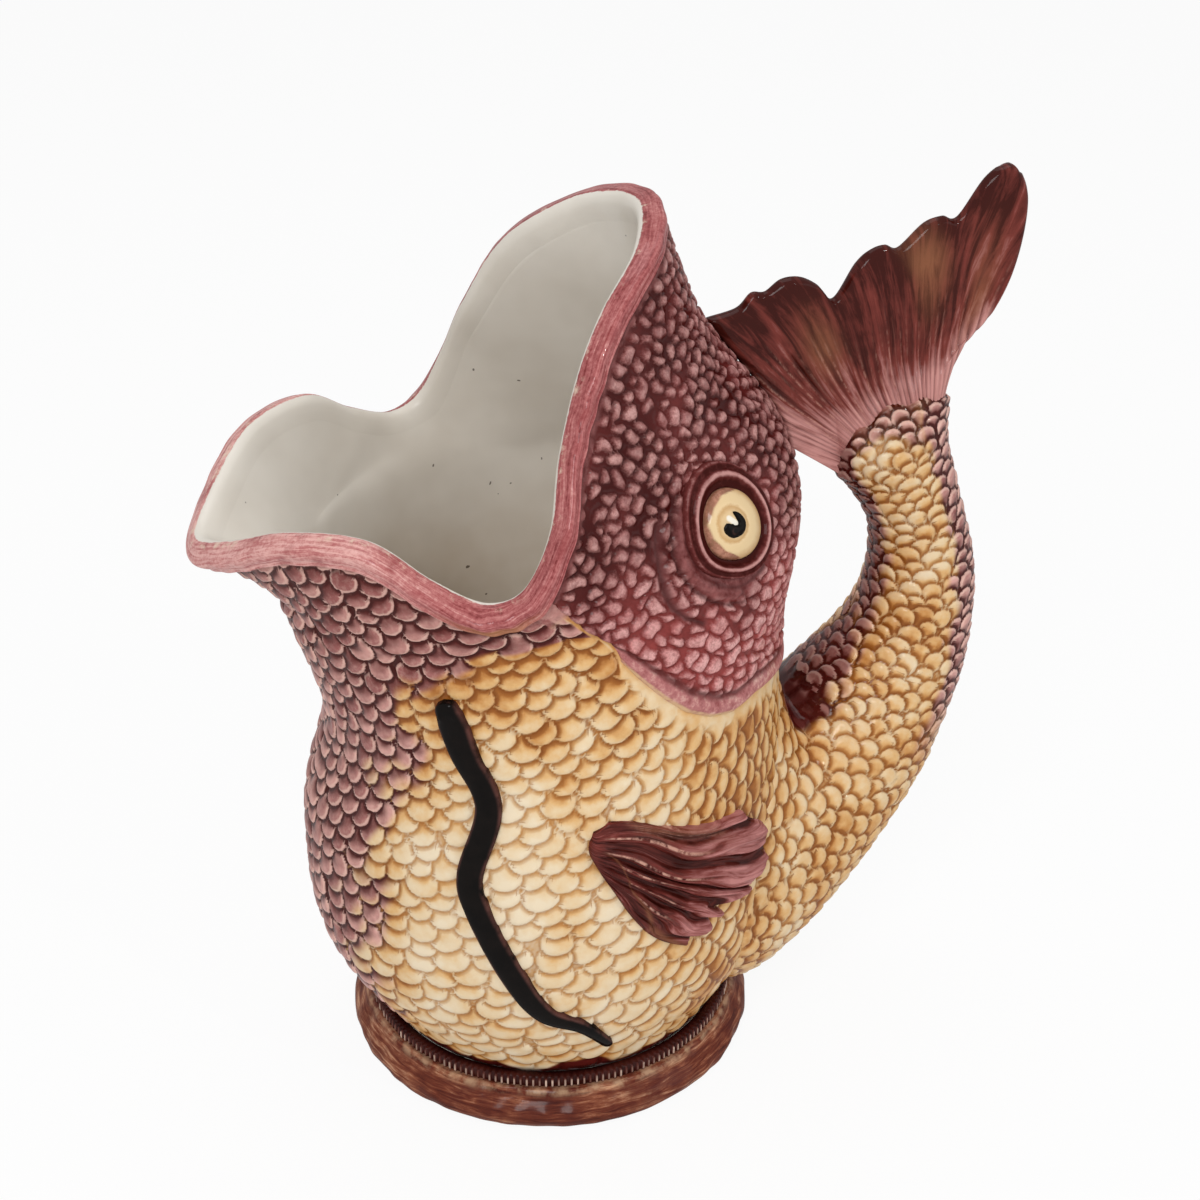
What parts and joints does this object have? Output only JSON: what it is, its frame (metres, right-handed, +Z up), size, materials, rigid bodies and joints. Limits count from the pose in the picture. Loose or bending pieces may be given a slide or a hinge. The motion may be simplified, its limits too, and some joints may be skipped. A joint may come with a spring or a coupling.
{
  "type": "gurgle jug",
  "caption": "Glazed earthenware gurgle jug shaped as a fish: wide pouring mouth, round foot, and a hollow curled tail that is both handle and air chamber.",
  "frame": {"origin": "centre of the foot's flat tread, on the surface the jug stands on", "axes": "+Z up, -X towards the spout, +X towards the tail handle, -Y the flank that the picture shows; the form is mirrored across Y"},
  "size_m": [0.2311, 0.1388, 0.254],
  "materials": {
    "scaled_cream_glaze": "glossy transparent glaze over cream and amber scales, mauve at the front, white inside",
    "mauve_head_glaze": "glossy mauve and maroon pebbled glaze, white inside",
    "rose_lip_glaze": "glossy rose glaze, brushed",
    "brown_foot_glaze": "glossy red-brown glaze with brush streaks",
    "dark_rib_glaze": "glossy dark maroon glaze, paler on the ribs",
    "ivory_floor_glaze": "glossy warm white glaze",
    "scaled_tail_glaze": "glossy cream and amber scales, maroon along both edges",
    "maroon_fin_glaze": "glossy maroon glaze, rose at the root",
    "maroon_side_fin_glaze": "glossy maroon glaze, rose on the ridges",
    "black_glaze": "glossy black glaze",
    "orbit_glaze": "glossy maroon glaze, rose on the crest",
    "cream_eye_glaze": "glossy cream glaze with a thin amber line"
  },
  "bodies": {
    "root": {"body_shell": "scaled_cream_glaze", "head_shell": "mauve_head_glaze", "lip_roll": "rose_lip_glaze", "foot_ring": "brown_foot_glaze", "notch_ring": "dark_rib_glaze", "base_plate": "ivory_floor_glaze", "tail_handle": "scaled_tail_glaze", "tail_fin": "maroon_fin_glaze", "pectoral_fin_near": "maroon_side_fin_glaze", "pectoral_fin_far": "maroon_side_fin_glaze", "eel_near": "black_glaze", "eel_far": "black_glaze", "orbit_near": "orbit_glaze", "orbit_far": "orbit_glaze", "eyeball_near": "cream_eye_glaze", "eyeball_far": "cream_eye_glaze", "pupil_near": "black_glaze", "pupil_far": "black_glaze"}
  },
  "joints": []
}
